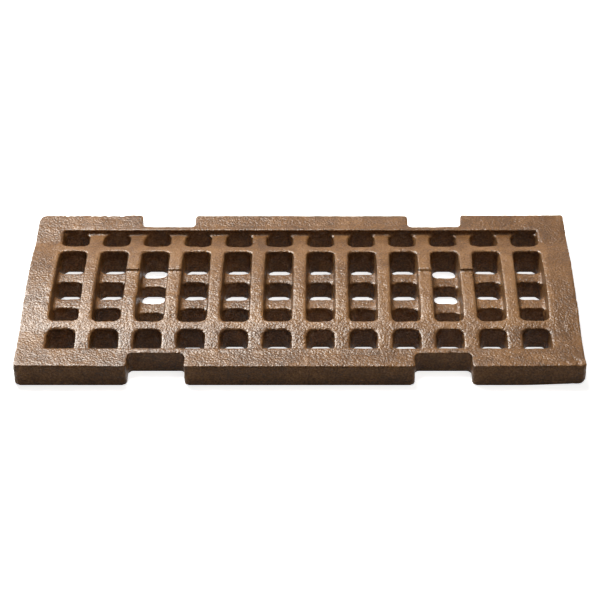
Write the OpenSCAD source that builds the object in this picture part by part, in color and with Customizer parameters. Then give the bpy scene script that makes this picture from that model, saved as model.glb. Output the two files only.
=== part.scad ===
// Channel drain grate: one sand-cast iron plate that lies over a drainage channel.
// Its flat borders carry an arched field of ribs, with a long slot and two short openings
// in each column, sunk crossbars in the long slots and four notches in the long edges.
// X runs along the plate, Y across it and Z up, from the middle of its underside.

/* [Plate] */
// Length of the plate, at its underside
plate_l = 500; // [440:5:600]
// Width of the plate, at its underside
plate_w = 224; // [190:1:250]
// Thickness of the flat borders
plate_t = 22; // [19:0.5:36]
// Radius of the plate's four upright corners
corner_r = 5; // [1:0.5:8]
// Draft of the outer sides, which lean in above the underside, in degrees
draft = 2; // [0.5:0.25:4]

/* [Arched field] */
// Rise of the arch above the flat borders, in the middle of the plate
arch_rise = 6.5; // [3:0.5:10]
// Drop of the ribs below the side strips, where the arch meets them
rib_drop = 5; // [2:0.1:8]
// Width of the raised strip along each long edge
strip_w = 25; // [20:0.5:30]
// Least width of the flat border at each end
end_border = 24; // [15:1:40]
// Offset of the openings from the middle of the plate's length
field_shift = -1.1; // [-5:0.1:5]

/* [Openings] */
// Width of every opening, along the plate
slot_w = 26; // [20:0.1:34]
// Width of the ribs between two columns
rib_w = 12.3; // [8:0.1:20]
// Length of the short openings beside the strips, across the plate
short_l = 26; // [16:0.5:30]
// Width of the two rails between the short and the long openings
rail_w = 10; // [7:0.5:14]
// Corner radius of the long slots above the crossbars
slot_r = 5.5; // [2:0.5:8]
// Corner radius of the short openings
short_r = 7.5; // [2:0.5:8]

/* [Crossbars] */
// Number of crossbars in each long slot
bars = 2; // [1:1:3]
// Width of a crossbar
bar_w = 12; // [7:0.5:16]
// Depth of the crossbars below the flat borders
bar_drop = 4.2; // [2:0.1:8]
// Corner radius of the gaps between the crossbars
gap_r = 7; // [2:0.5:9.5]

/* [Locking bays] */
// Column that holds the locking bay, counted from each end
bay_column = 3; // [2:1:4]
// Depth of the crossbars in a locking bay below the flat borders
bay_bar_drop = 9.2; // [8.2:0.1:13]
// Length of the seat cut across the two ribs beside a bay
seat_l = 36; // [20:1:44]
// Depth of the seat below the crest of the arch
seat_d = 3; // [1.5:0.1:4]
// Offset of the seat from the middle of the plate's width
seat_shift = 2; // [-6:0.5:6]

/* [Edge notches] */
// Width of a notch, along the plate
notch_w = 50; // [30:1:60]
// Depth of a notch into the plate's edge
notch_d = 19; // [10:0.5:20]
// Radius of a notch's two inner corners
notch_r = 5; // [2:0.5:8]
// Radius of the plate's corners at the mouth of a notch
notch_lip_r = 3.5; // [1:0.5:6]
// Distance from the plate's end to the middle of a notch
notch_inset = 124; // [60:1:150]

/* [Hidden] */
$fn = 96;

// How far a cut runs past the surface that it opens
past = 1;
crest_z = plate_t + arch_rise;

// Columns: as many as fit between the two end borders
column_pitch = slot_w + rib_w;
columns = floor((plate_l - 2 * end_border + rib_w) / column_pitch);
field_l = columns * column_pitch - rib_w;
function column_x(i) = field_shift + (i - (columns - 1) / 2) * column_pitch;
function is_bay(i) = i == bay_column - 1 || i == columns - bay_column;

// Rows: strip, short opening, rail and long slot, from each long edge inwards
field_w = plate_w - 2 * strip_w;
short_y = field_w / 2 - short_l / 2;
slot_l = field_w - 2 * (short_l + rail_w);
gap_l = (slot_l - bars * bar_w) / (bars + 1);
gap_pitch = gap_l + bar_w;

// The arch is one round surface along X that passes through the crest and both rib ends
arch_h = arch_rise + rib_drop;
arch_r = (pow(field_w / 2, 2) + pow(arch_h, 2)) / (2 * arch_h);
seat_z = crest_z - seat_d;

// A rectangle of this size with its corners rounded, about the origin
module round_rect(size, r) {
    square([size.x, size.y - 2 * r], center = true);
    square([size.x - 2 * r, size.y], center = true);
    for (sx = [-1, 1], sy = [-1, 1])
        translate([sx * (size.x / 2 - r), sy * (size.y / 2 - r)])
            circle(r);
}

// One notch, cut from an edge at y = 0 towards +Y, with its mouth rounded outwards
module notch_outline() {
    translate([-notch_w / 2, -past])
        square([notch_w, notch_d - notch_r + past]);
    translate([-notch_w / 2 + notch_r, 0])
        square([notch_w - 2 * notch_r, notch_d]);
    for (sx = [-1, 1]) {
        translate([sx * (notch_w / 2 - notch_r), notch_d - notch_r])
            circle(notch_r);
        difference() {
            translate([sx * (notch_w + notch_lip_r) / 2, (notch_lip_r - past) / 2])
                square([notch_lip_r, notch_lip_r + past], center = true);
            translate([sx * (notch_w / 2 + notch_lip_r), notch_lip_r])
                circle(notch_lip_r);
        }
    }
}

// The plate seen from above, with its four notches
module plate_outline() {
    difference() {
        round_rect([plate_l, plate_w], corner_r);
        for (sx = [-1, 1], sy = [-1, 1])
            translate([sx * (plate_l / 2 - notch_inset), sy * plate_w / 2])
                mirror([0, sy > 0 ? 1 : 0])
                    notch_outline();
    }
}

// The round body whose top is the arch, as long as the given length
module arch_body(length) {
    translate([-length / 2, 0, crest_z - arch_r])
        rotate([0, 90, 0])
            cylinder(h = length, r = arch_r, $fn = 360);
}

// A bar of trapezoid section along X, as wide as w at the underside and narrower above it
module drafted_bar(length, w) {
    top = crest_z + past;
    top_w = w - 2 * top * tan(draft);
    rotate([90, 0, 90])
        translate([0, 0, -length / 2])
            linear_extrude(length)
                polygon([[-w / 2, 0], [w / 2, 0], [top_w / 2, top], [-top_w / 2, top]]);
}

// The cast blank: flat borders and the arch, inside the drafted sides
module blank() {
    intersection() {
        linear_extrude(crest_z + past)
            plate_outline();
        union() {
            translate([-plate_l / 2, -plate_w / 2, 0])
                cube([plate_l, plate_w, plate_t]);
            arch_body(plate_l);
        }
        drafted_bar(plate_l, plate_w);
        rotate([0, 0, 90])
            drafted_bar(plate_w, plate_l);
    }
}

// What is taken off above the ribs, between the two strips
module field_recess() {
    difference() {
        translate([field_shift - field_l / 2, -field_w / 2, plate_t - rib_drop - past])
            cube([field_l, field_w, rib_drop + 2 * past + arch_rise]);
        arch_body(2 * plate_l);
    }
}

// An opening of this length across the plate with corners of radius r, between two heights
module opening(length, r, z0, z1) {
    translate([0, 0, z0])
        linear_extrude(z1 - z0)
            round_rect([slot_w, length], r);
}

// All that is cut from one column: its openings leave the crossbars standing
module column_cut(drop) {
    bar_top = plate_t - drop;
    opening(slot_l, slot_r, bar_top, crest_z + past);
    for (k = [0 : bars])
        translate([0, (k - bars / 2) * gap_pitch, 0])
            opening(gap_l, gap_r, -past, bar_top + past);
    for (sy = [-1, 1])
        translate([0, sy * short_y, 0])
            opening(short_l, short_r, -past, crest_z + past);
}

// The seat for a lock bar, across a locking bay and the two ribs beside it
module bay_seat() {
    seat_w = slot_w + 2 * rib_w;
    translate([-seat_w / 2, seat_shift - seat_l / 2, seat_z])
        cube([seat_w, seat_l, seat_d + past]);
}

module grate() {
    color("#7b5b45")
    difference() {
        blank();
        field_recess();
        for (i = [0 : columns - 1])
            translate([column_x(i), 0, 0]) {
                column_cut(is_bay(i) ? bay_bar_drop : bar_drop);
                if (is_bay(i))
                    bay_seat();
            }
    }
}

grate();
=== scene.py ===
import math

import bpy
import numpy as np
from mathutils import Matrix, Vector


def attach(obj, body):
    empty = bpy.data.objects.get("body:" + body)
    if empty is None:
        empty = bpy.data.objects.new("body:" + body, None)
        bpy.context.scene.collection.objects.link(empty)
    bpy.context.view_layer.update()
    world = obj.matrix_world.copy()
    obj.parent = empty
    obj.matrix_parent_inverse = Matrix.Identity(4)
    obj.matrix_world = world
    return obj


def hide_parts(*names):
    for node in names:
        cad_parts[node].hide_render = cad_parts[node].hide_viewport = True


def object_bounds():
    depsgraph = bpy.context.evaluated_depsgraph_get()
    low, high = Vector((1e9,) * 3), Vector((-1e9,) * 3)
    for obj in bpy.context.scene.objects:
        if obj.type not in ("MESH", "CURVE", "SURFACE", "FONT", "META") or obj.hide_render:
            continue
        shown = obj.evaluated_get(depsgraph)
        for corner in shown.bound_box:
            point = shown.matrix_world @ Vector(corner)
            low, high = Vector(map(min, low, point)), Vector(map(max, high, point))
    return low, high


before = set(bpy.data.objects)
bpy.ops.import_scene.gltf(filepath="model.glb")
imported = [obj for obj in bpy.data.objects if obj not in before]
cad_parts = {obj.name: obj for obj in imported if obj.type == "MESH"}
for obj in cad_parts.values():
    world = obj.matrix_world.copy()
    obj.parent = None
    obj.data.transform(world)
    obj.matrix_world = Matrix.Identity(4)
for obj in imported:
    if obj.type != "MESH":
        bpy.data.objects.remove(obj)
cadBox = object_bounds()
print("frame loaded")

# The casting is worked on in mm, as in the part, and kept in metres
mmPerMetre = 1000


# Small helpers

def toLinear(hexColour):
    channels = [int(hexColour[i:i + 2], 16) / 255 for i in (1, 3, 5)]
    linear = [c / 12.92 if c <= 0.04045 else ((c + 0.055) / 1.055) ** 2.4 for c in channels]
    return (*linear, 1.0)


# Adds one shader node. Settings are socket values or node properties, links go into its inputs
def addNode(tree, kind, settings=None, links=None):
    node = tree.nodes.new(kind)
    for name, value in (settings or {}).items():
        if isinstance(name, int) or name in node.inputs:
            node.inputs[name].default_value = value
        else:
            setattr(node, name, value)
    for name, source in (links or {}).items():
        tree.links.new(source, node.inputs[name])
    return node


def newTree(material):
    material.use_nodes = True
    material.node_tree.nodes.clear()
    return material.node_tree


def makeActive(piece):
    if bpy.context.mode != "OBJECT":
        bpy.ops.object.mode_set(mode="OBJECT")
    bpy.ops.object.select_all(action="DESELECT")
    piece.select_set(True)
    bpy.context.view_layer.objects.active = piece


def applyModifier(piece, kind, **settings):
    makeActive(piece)
    modifier = piece.modifiers.new(kind.title(), kind)
    for name, value in settings.items():
        setattr(modifier, name, value)
    bpy.ops.object.modifier_apply(modifier=modifier.name)


# The vertices of a piece as an array in mm, and back
def readPoints(piece):
    flat = np.empty(3 * len(piece.data.vertices))
    piece.data.vertices.foreach_get("co", flat)
    return flat.reshape(-1, 3) * mmPerMetre


def writePoints(piece, points):
    piece.data.vertices.foreach_set("co", (points / mmPerMetre).ravel())
    piece.data.update()


def readNormals(piece):
    flat = np.empty(3 * len(piece.data.vertices))
    piece.data.vertices.foreach_get("normal", flat)
    return flat.reshape(-1, 3)


# Large whole numbers that scatter the cells of the noise, as any hash does
scatter = {
    "primes": (73856093, 19349663, 83492791),
    "seedStep": 40503,
    "mixer": 1274126177,
    "steps": 65535,           # how many steps a random value can take
    "offset": 37.7,           # cells between the noise of one seed and the next
}


# Smooth random values from -1 to 1, one for each point, in cells of the given size in mm
def noiseField(points, cell, seed):
    grid = points / cell + scatter["offset"] * seed
    low = np.floor(grid).astype(np.int64)
    part = grid - low
    part = part * part * (3 - 2 * part)
    total = np.zeros(len(points))
    a, b, c = scatter["primes"]
    for corner in range(8):
        step = np.array([corner & 1, corner >> 1 & 1, corner >> 2 & 1])
        spot = low + step
        mixed = spot[:, 0] * a ^ spot[:, 1] * b ^ spot[:, 2] * c ^ seed * scatter["seedStep"]
        mixed = (mixed ^ mixed >> 13) * scatter["mixer"]
        value = ((mixed ^ mixed >> 16) & scatter["steps"]) / (scatter["steps"] / 2) - 1
        total += value * np.prod(np.where(step == 1, part, 1 - part), axis=1)
    return total


# The sum of several noises, each with its cell, height and seed, on top of a base value
def layeredNoise(points, layers, base=0.0):
    total = np.full(len(points), float(base))
    for layer in layers:
        total += layer["height"] * noiseField(points, layer["cell"], layer["seed"])
    return total


# Goes smoothly from 0 at the first value to 1 at the second
def ramp(values, start, end):
    t = np.clip((values - start) / (end - start), 0, 1)
    return t * t * (3 - 2 * t)


# Camera, lamps, world and floor

camera = {
    "place": (0.02171, -1.44465, 1.1554),
    "elevation": 38.5,        # degrees above the floor
    "lens": 120.8,            # mm
    "sensor": 36,             # mm
    "shiftX": -0.0407,
    "farClip": 50,
}


def makeCamera():
    data = bpy.data.cameras.new("photoCamera")
    data.lens = camera["lens"]
    data.sensor_width = camera["sensor"]
    data.shift_x = camera["shiftX"]
    data.clip_end = camera["farClip"]
    piece = bpy.data.objects.new("photoCamera", data)
    bpy.context.scene.collection.objects.link(piece)
    piece.location = camera["place"]
    piece.rotation_euler = (math.radians(90 - camera["elevation"]), 0, 0)
    bpy.context.scene.camera = piece


# A softbox above and behind the grate, on its left, and a weak fill. Two more only shine in the iron
lamps = {
    "softbox": {"place": (-0.5, 1.0, 1.9), "size": (0.9, 0.9), "watts": 66, "diffuse": True, "glossy": True},
    "sheen": {"place": (-0.8, 0.9, 1.9), "size": (0.8, 0.8), "watts": 185, "diffuse": False, "glossy": True},
    "edge": {"place": (-1.8, 0.9, 1.5), "size": (0.7, 0.7), "watts": 390, "diffuse": False, "glossy": True},
    "fill": {"place": (0.9, -0.1, 1.9), "size": (1.2, 1.2), "watts": 5, "diffuse": True, "glossy": False},
}

studio = {
    "lampColour": "#FFFBF4",
    "lampAim": (0, 0, 0.02),
    "ambient": 0.02,
    "ambientColour": "#F4F6FF",
    "floorSize": 8,
    "floorColour": "#F4F4F4",
    "floorGlow": 0.8,
    "floorBounce": "#9C978A",
}


def makeLamps():
    for name, spec in lamps.items():
        data = bpy.data.lights.new(name, "AREA")
        data.shape = "RECTANGLE"
        data.size, data.size_y = spec["size"]
        data.energy = spec["watts"]
        data.color = toLinear(studio["lampColour"])[:3]
        lamp = bpy.data.objects.new(name, data)
        bpy.context.scene.collection.objects.link(lamp)
        lamp.location = spec["place"]
        aim = Vector(studio["lampAim"]) - lamp.location
        lamp.rotation_euler = aim.to_track_quat("-Z", "Y").to_euler()
        lamp.visible_glossy = spec["glossy"]
        lamp.visible_diffuse = spec["diffuse"]


# White for the rays that see the background, in the iron's sheen too, and a dim shade for its light
def mixByRay(tree, dim, white):
    path = tree.nodes.new("ShaderNodeLightPath")
    seen = path.outputs["Is Camera Ray"]
    for ray in ("Is Glossy Ray", "Is Transmission Ray"):
        either = addNode(tree, "ShaderNodeMath", {"operation": "MAXIMUM"},
                         {0: seen, 1: path.outputs[ray]})
        seen = either.outputs[0]
    return addNode(tree, "ShaderNodeMixShader",
                   links={0: seen, 1: dim.outputs[0], 2: white.outputs[0]})


def makeWorld():
    world = bpy.data.worlds.new("studio")
    bpy.context.scene.world = world
    tree = newTree(world)
    dim = addNode(tree, "ShaderNodeBackground",
                  {"Color": toLinear(studio["ambientColour"]), "Strength": studio["ambient"]})
    white = addNode(tree, "ShaderNodeBackground", {"Color": (1, 1, 1, 1), "Strength": 1.0})
    mixed = mixByRay(tree, dim, white)
    addNode(tree, "ShaderNodeOutputWorld", links={"Surface": mixed.outputs[0]})


def makeFloor():
    bpy.ops.mesh.primitive_plane_add(size=studio["floorSize"], location=(0, 0, 0))
    floor = bpy.context.object
    floor.name = "floor"
    material = bpy.data.materials.new("studioFloor")
    tree = newTree(material)
    paper = addNode(tree, "ShaderNodeBsdfDiffuse", {"Color": toLinear(studio["floorColour"])})
    glow = addNode(tree, "ShaderNodeEmission", {"Color": (1, 1, 1, 1), "Strength": studio["floorGlow"]})
    lit = addNode(tree, "ShaderNodeAddShader", links={0: paper.outputs[0], 1: glow.outputs[0]})
    bounce = addNode(tree, "ShaderNodeBsdfDiffuse", {"Color": toLinear(studio["floorBounce"])})
    mixed = mixByRay(tree, bounce, lit)
    addNode(tree, "ShaderNodeOutputMaterial", links={"Surface": mixed.outputs[0]})
    floor.data.materials.append(material)


# The casting

casting = {
    "weld": 0.01,             # distance under which the CAD mesh's vertices are joined
    "voxel": 1.0,             # size of the remeshed faces
    "maxTriangles": 190000,
    "halfLength": 250,
    "halfPitch": 19.15,       # half the distance between two columns
    "halfSlot": 13,
    "columns": 12,
    "fieldShift": -1.1,
    "fieldHalfWidth": 87,
    "thick": 22,              # of the flat borders
}


# How far each point lies from the middle of its own column
def fromColumn(x):
    c = casting
    place = (x - c["fieldShift"]) / (2 * c["halfPitch"]) + (c["columns"] - 1) / 2
    column = np.clip(np.round(place), 0, c["columns"] - 1)
    return (place - column) * 2 * c["halfPitch"]


def startCasting():
    piece = bpy.data.objects.new("castGrate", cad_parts["grate"].data.copy())
    bpy.context.scene.collection.objects.link(piece)
    makeActive(piece)
    bpy.ops.object.mode_set(mode="EDIT")
    bpy.ops.mesh.select_all(action="SELECT")
    bpy.ops.mesh.remove_doubles(threshold=casting["weld"] / mmPerMetre)
    bpy.ops.mesh.normals_make_consistent(inside=False)
    bpy.ops.object.mode_set(mode="OBJECT")
    return piece


# How the walls of the openings lean and the top sags. The row stops are the middles and edges of
# crossbars, gaps, rails and short openings across the plate, where 1 and -1 stand for a wall
warp = {
    "draft": 0.1,             # lean of the openings' walls along the length, as a slope
    "endDraft": 0.08,         # lean of their walls across it
    "leftWall": 0.5,          # how far the left walls stand into the openings at the borders' height
    "rightWall": 0.1,
    "rowStops": (0, 13, 19, 25, 38, 51, 56, 61, 74, 87, 92),
    "rowWalls": (0, -1, 0, 1, 0, -1, 0, 1, 0, -1, 0),
    "past": 1,                # how far beyond the field the walls are still moved
    "slotPast": 0.5,
    "undercut": 0.11,         # how far the wall behind the front openings leans back instead
    "undercutY": -61,
    "undercutX": (-140, -60),     # where along the plate it starts and is full
    "undercutFade": (4, 10),
    "sag": 1.2,               # how much lower the top lies in the middle of the length
}


# Every opening narrows downwards, as the pattern leaves the sand upwards, and the top sags a little
def warpCasting(piece):
    c = casting
    points = readPoints(piece)
    x, y, z = points.T
    inner = np.abs(y) < c["fieldHalfWidth"] + warp["past"]
    depth = c["thick"] - z
    u = fromColumn(x)
    across = np.interp(np.abs(u), [0, c["halfSlot"], c["halfPitch"]], [0, -1, 0])
    inset = np.where(u < 0, warp["leftWall"], warp["rightWall"])
    shift = np.where(inner, np.sign(u) * across * (warp["draft"] * depth + inset), 0)
    along = np.interp(np.abs(y), warp["rowStops"], warp["rowWalls"])
    undercut = ramp(x, *warp["undercutX"]) * (1 - ramp(np.abs(y - warp["undercutY"]), *warp["undercutFade"]))
    lean = (warp["endDraft"] - warp["undercut"] * undercut) * depth
    y = y + np.sign(y) * along * lean * (np.abs(u) < c["halfSlot"] + warp["slotPast"])
    x = x + shift
    z = z - warp["sag"] * (1 - (x / c["halfLength"]) ** 2) * np.clip(z / c["thick"], 0, 1)
    writePoints(piece, np.stack([x, y, z], axis=1))


# How round the edges are: all of them a little, the arched field's more and, as the photo shows,
# the edges on the left of its openings the most. The back walls of the lock seats stay crisp
rounding = {
    "factor": 0.5,
    "passes": 2,
    "fieldPasses": 6,
    "leftPasses": 10,
    "fieldAbove": 4,          # the foot of the field keeps its edges
    "leftAbove": 10,
    "leftFacing": 0.12,       # least share of +X in the normal of a left edge
    "endMargin": 2,
    "sideMargin": 2.5,
    "seatWallY": 20,
    "seatWallReach": 3,
    "seatWallX": (95, 172),
}


def smoothGroup(piece, name, chosen, passes):
    group = piece.vertex_groups.new(name=name)
    group.add([int(i) for i in np.nonzero(chosen)[0]], 1.0, "REPLACE")
    applyModifier(piece, "SMOOTH", factor=rounding["factor"], iterations=passes, vertex_group=name)


def roundCasting(piece):
    c = casting
    r = rounding
    applyModifier(piece, "REMESH", mode="VOXEL", voxel_size=c["voxel"] / mmPerMetre, adaptivity=0)
    print("remeshed", len(piece.data.polygons))
    applyModifier(piece, "SMOOTH", factor=r["factor"], iterations=r["passes"])
    x, y, z = readPoints(piece).T
    u = np.abs(x - c["fieldShift"])
    fieldEnd = c["columns"] * c["halfPitch"] - r["endMargin"]
    inner = (np.abs(y) < c["fieldHalfWidth"] - r["sideMargin"]) & (u < fieldEnd)
    seatStart, seatEnd = r["seatWallX"]
    seatWall = (np.abs(y - r["seatWallY"]) < r["seatWallReach"]) & (u > seatStart) & (u < seatEnd)
    field = inner & ~seatWall
    smoothGroup(piece, "field", field & (z > r["fieldAbove"]), r["fieldPasses"])
    facing = readNormals(piece)[:, 0] > r["leftFacing"]
    smoothGroup(piece, "leftEdges", field & facing & (z > r["leftAbove"]), r["leftPasses"])


# Unevenness of the sand mould: size of the bumps and height, in mm
roughness = [
    {"cell": 28, "height": 0.30, "seed": 1},
    {"cell": 9, "height": 0.16, "seed": 2},
    {"cell": 3.4, "height": 0.22, "seed": 3},
]

# The bottom stays flat up to this height
flatFoot = 1.5

# Lumps and pits that the photo shows: place on the top, radius and height in mm
marks = [
    {"at": (-226.5, -9), "radius": 6, "height": 0.9},
    {"at": (-225.5, -22), "radius": 5, "height": 0.8},
    {"at": (-165.4, -29), "radius": 3.5, "height": 1.9},
    {"at": (-160, -25), "radius": 3, "height": 1.0},
    {"at": (-115.4, -40), "radius": 2.2, "height": -0.9},
    {"at": (-114.8, -46), "radius": 2, "height": -0.9},
    {"at": (-113.5, -33), "radius": 2, "height": -0.6},
    {"at": (-106.1, -68.6), "radius": 3, "height": 1.0},
    {"at": (29.4, -50.3), "radius": 2.4, "height": 1.0},
    {"at": (238.1, -58.6), "radius": 3, "height": 0.6},
    {"at": (239.5, -63), "radius": 2.5, "height": 0.5},
    {"at": (240, -104), "radius": 5, "height": -1.0},
    {"at": (233, -108), "radius": 3, "height": -0.8},
]

# Where a mark may lie, and how uneven it is
markSkin = {
    "above": 12,
    "facing": 0.2,            # least share of +Z in the normal there
    "grain": [{"cell": 1.8, "height": 0.5, "seed": 9}],
}


def addMarks(points, normals):
    for mark in marks:
        gap = np.hypot(points[:, 0] - mark["at"][0], points[:, 1] - mark["at"][1])
        top = (points[:, 2] > markSkin["above"]) & (normals[:, 2] > markSkin["facing"])
        near = (gap < mark["radius"]) & top
        swell = 0.5 + 0.5 * np.cos(np.pi * gap[near] / mark["radius"])
        grain = layeredNoise(points[near], markSkin["grain"], base=1)
        points[near, 2] += mark["height"] * swell * grain


# Heights over which the marks of the edges and corners grow towards the top
topSpan = (6, 18)

# The ragged back edge, left of its notch
tornEdge = {
    "start": (-252, -246),
    "end": (-168, -158),
    "across": (104, 110),
    "depth": 1.0,
    "tears": [{"cell": 3.4, "height": 0.9, "seed": 11}, {"cell": 1.8, "height": 0.6, "seed": 12}],
}

# The rough, bulging front right corner. Its underside is lifted a little
roughCorner = {
    "along": (232, 246),
    "across": (98, 108),
    "lumps": [{"cell": 4, "height": 1, "seed": 13}, {"cell": 2, "height": 0.7, "seed": 14}],
    "outX": 1.1,
    "outY": 0.8,
    "bulge": 0.6,
    "bulgeZ": 12,
    "liftAlong": (190, 252),
    "liftAcross": (85, 112),
    "lift": 2.0,
    "liftFade": (0, 20),
}

# The blunt back left corner
bluntCorner = {
    "along": (240, 252),
    "across": (100, 112),
    "inX": 2,
    "inY": 1.5,
}

# The uneven sides of the crossbars
barFaces = {
    "halfLength": 12,
    "middleY": 19,
    "reach": 9,
    "heights": (8, 14),
    "lumps": [{"cell": 3.5, "height": 0.6, "seed": 15}],
}


def tearEdge(points, x, y, z):
    e = tornEdge
    torn = ramp(x, *e["start"]) * (1 - ramp(x, *e["end"])) * ramp(y, *e["across"]) * ramp(z, *topSpan)
    return x, y - torn * layeredNoise(points, e["tears"], base=e["depth"]), z


def roughenCorner(points, x, y, z):
    r = roughCorner
    top = ramp(z, *topSpan)
    corner = ramp(x, *r["along"]) * ramp(-y, *r["across"])
    rough = layeredNoise(points, r["lumps"])
    x = x + corner * (r["outX"] * rough + r["bulge"] * (1 - np.abs(z - r["bulgeZ"]) / r["bulgeZ"]))
    y = y + corner * r["outY"] * rough
    z = z + corner * top * rough
    lifted = ramp(x, *r["liftAlong"]) * ramp(-y, *r["liftAcross"])
    return x, y, z + r["lift"] * lifted * (1 - ramp(z, *r["liftFade"]))


def dullCorner(x, y, z, top):
    blunt = ramp(-x, *bluntCorner["along"]) * ramp(y, *bluntCorner["across"])
    return x + bluntCorner["inX"] * blunt, y - bluntCorner["inY"] * blunt, z - blunt * top


def roughenBars(points, x, y, z):
    b = barFaces
    foot, full = b["heights"]
    beside = np.abs(np.abs(y) - b["middleY"]) < b["reach"]
    face = (np.abs(fromColumn(x)) < b["halfLength"]) & beside & (z > foot)
    return x, y + face * layeredNoise(points, b["lumps"]) * ramp(z, foot, full), z


def roughenCasting(piece):
    points = readPoints(piece)
    normals = readNormals(piece)
    aboveFoot = points[:, 2] > flatFoot
    points += normals * (layeredNoise(points, roughness) * aboveFoot)[:, None]
    addMarks(points, normals)
    x, y, z = points.T
    top = ramp(z, *topSpan)
    x, y, z = tearEdge(points, x, y, z)
    x, y, z = roughenCorner(points, x, y, z)
    x, y, z = dullCorner(x, y, z, top)
    x, y, z = roughenBars(points, x, y, z)
    writePoints(piece, np.stack([x, y, z], axis=1))
    clipCasting(piece)


# Keeps the casting inside the box of the CAD part
def clipCasting(piece):
    low, high = [np.array(list(corner)) * mmPerMetre for corner in cadBox]
    writePoints(piece, np.clip(readPoints(piece), low, high))


def thinCasting(piece):
    count = 2 * len(piece.data.polygons)
    if count > casting["maxTriangles"]:
        applyModifier(piece, "DECIMATE", ratio=casting["maxTriangles"] / count)
        clipCasting(piece)
    makeActive(piece)
    bpy.ops.object.shade_smooth()
    print("triangles", sum(len(p.vertices) - 2 for p in piece.data.polygons))


# Sand-cast iron with a thin brown coat: grain of about 2 mm, whose lighter speckles are partly its own tone
# and partly painted glints, softer patches of 15 mm and more
iron = {
    "dark": "#4C3420",
    "mid": "#6E4B28",
    "light": "#8E673F",
    "darkAt": 0.37,           # places of the three colours in their row
    "midAt": 0.5,
    "lightAt": 0.63,
    "roughness": 0.35,
    "specular": 0.15,
    "grainAndGlintWeight": 0.45,      # shares of the three noises in the colour; the grain's share also paints glints
    "patchWeight": 0.35,
    "stainWeight": 0.2,
    "highlightStart": 0.0213,      # m above the underside, where the ribs start to be painted lighter, a painted highlight
    "highlightFull": 0.0235,
    "highlightEdge": 0.230,        # m from the middle, where the end borders without the painted highlight start
    "highlightFade": 0.004,
    "highlightLift": 0.07,             # how far up the row of colours the painted highlight goes
    "sandScale": 520,         # grains of sand to the metre
    "sandSoftness": 0.4,
    "peelWeight": 0.9,        # share of the larger bumps in the relief
    "grainHeight": 0.00038,   # m, of the bumps
}

# The noises of the iron's coat: cells to the metre, detail and roughness
coatNoises = {
    "grain": {"Scale": 540, "Detail": 3.0, "Roughness": 0.6},
    "patch": {"Scale": 60, "Detail": 4.0, "Roughness": 0.6},
    "stain": {"Scale": 9, "Detail": 3.0},
    "peel": {"Scale": 290, "Detail": 1.0},
}


# A value times its weight, added to what comes before it
def addWeighted(tree, source, weight, before=None):
    links = {0: source}
    if before:
        links[2] = before
    node = addNode(tree, "ShaderNodeMath", {"operation": "MULTIPLY_ADD", 1: weight, 2: 0.0}, links)
    return node.outputs[0]


# Painted highlight: how much lighter each place is painted for the light it catches, on the raised ribs and
# strips but not the end borders
def addPaintedHighlight(tree, place, before):
    split = addNode(tree, "ShaderNodeSeparateXYZ", links={"Vector": place})
    raised = addNode(tree, "ShaderNodeMapRange", {1: iron["highlightStart"], 2: iron["highlightFull"]},
                     {0: split.outputs["Z"]})
    outward = addNode(tree, "ShaderNodeMath", {"operation": "ABSOLUTE"}, {0: split.outputs["X"]})
    ribbed = addNode(tree, "ShaderNodeMapRange",
                     {1: iron["highlightEdge"], 2: iron["highlightEdge"] - iron["highlightFade"], 4: iron["highlightLift"]},
                     {0: outward.outputs[0]})
    highlighted = addNode(tree, "ShaderNodeMath", {"operation": "MULTIPLY_ADD"},
                   {0: raised.outputs[0], 1: ribbed.outputs[0], 2: before})
    return highlighted.outputs[0]


def addColours(tree, tone):
    colours = addNode(tree, "ShaderNodeValToRGB", links={"Fac": tone})
    row = colours.color_ramp.elements
    row[0].position, row[0].color = iron["darkAt"], toLinear(iron["dark"])
    row[1].position, row[1].color = iron["lightAt"], toLinear(iron["light"])
    row.new(iron["midAt"]).color = toLinear(iron["mid"])
    return colours.outputs["Color"]


# Grains of sand on larger soft bumps
def addRelief(tree, place, grain, peel):
    sand = addNode(tree, "ShaderNodeTexVoronoi",
                   {"feature": "SMOOTH_F1", "Scale": iron["sandScale"], "Smoothness": iron["sandSoftness"]},
                   {"Vector": place})
    pitted = addNode(tree, "ShaderNodeMath", {"operation": "SUBTRACT"},
                     {0: grain, 1: sand.outputs["Distance"]})
    height = addWeighted(tree, peel, iron["peelWeight"], pitted.outputs[0])
    bump = addNode(tree, "ShaderNodeBump", {"Strength": 1.0, "Distance": iron["grainHeight"]},
                   {"Height": height})
    return bump.outputs["Normal"]


def makeIron():
    material = bpy.data.materials.new("brownCastIron")
    tree = newTree(material)
    place = tree.nodes.new("ShaderNodeTexCoord").outputs["Object"]
    noise = {}
    for name, settings in coatNoises.items():
        noise[name] = addNode(tree, "ShaderNodeTexNoise", settings, {"Vector": place}).outputs["Fac"]
    # The grain's share paints lighter speckles on the raised grains, partly the grain's own tone and partly
    # painted glints
    tone = addWeighted(tree, noise["grain"], iron["grainAndGlintWeight"])
    tone = addWeighted(tree, noise["patch"], iron["patchWeight"], tone)
    tone = addWeighted(tree, noise["stain"], iron["stainWeight"], tone)
    # The tone gets the painted highlight of the raised ribs before it becomes a colour
    colour = addColours(tree, addPaintedHighlight(tree, place, tone))
    normal = addRelief(tree, place, noise["grain"], noise["peel"])
    shader = addNode(tree, "ShaderNodeBsdfPrincipled",
                     {"Roughness": iron["roughness"], "Specular IOR Level": iron["specular"]},
                     {"Base Color": colour, "Normal": normal})
    addNode(tree, "ShaderNodeOutputMaterial", links={"Surface": shader.outputs[0]})
    return material


makeCamera()
makeLamps()
makeWorld()
makeFloor()
print("camera, lamps and floor made")
grate = startCasting()
warpCasting(grate)
roundCasting(grate)
print("casting rounded")
roughenCasting(grate)
thinCasting(grate)
grate.data.materials.clear()
grate.data.materials.append(makeIron())
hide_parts("grate")
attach(grate, "root")
print("grate finished")

bpy.context.scene.view_settings.view_transform = "Standard"
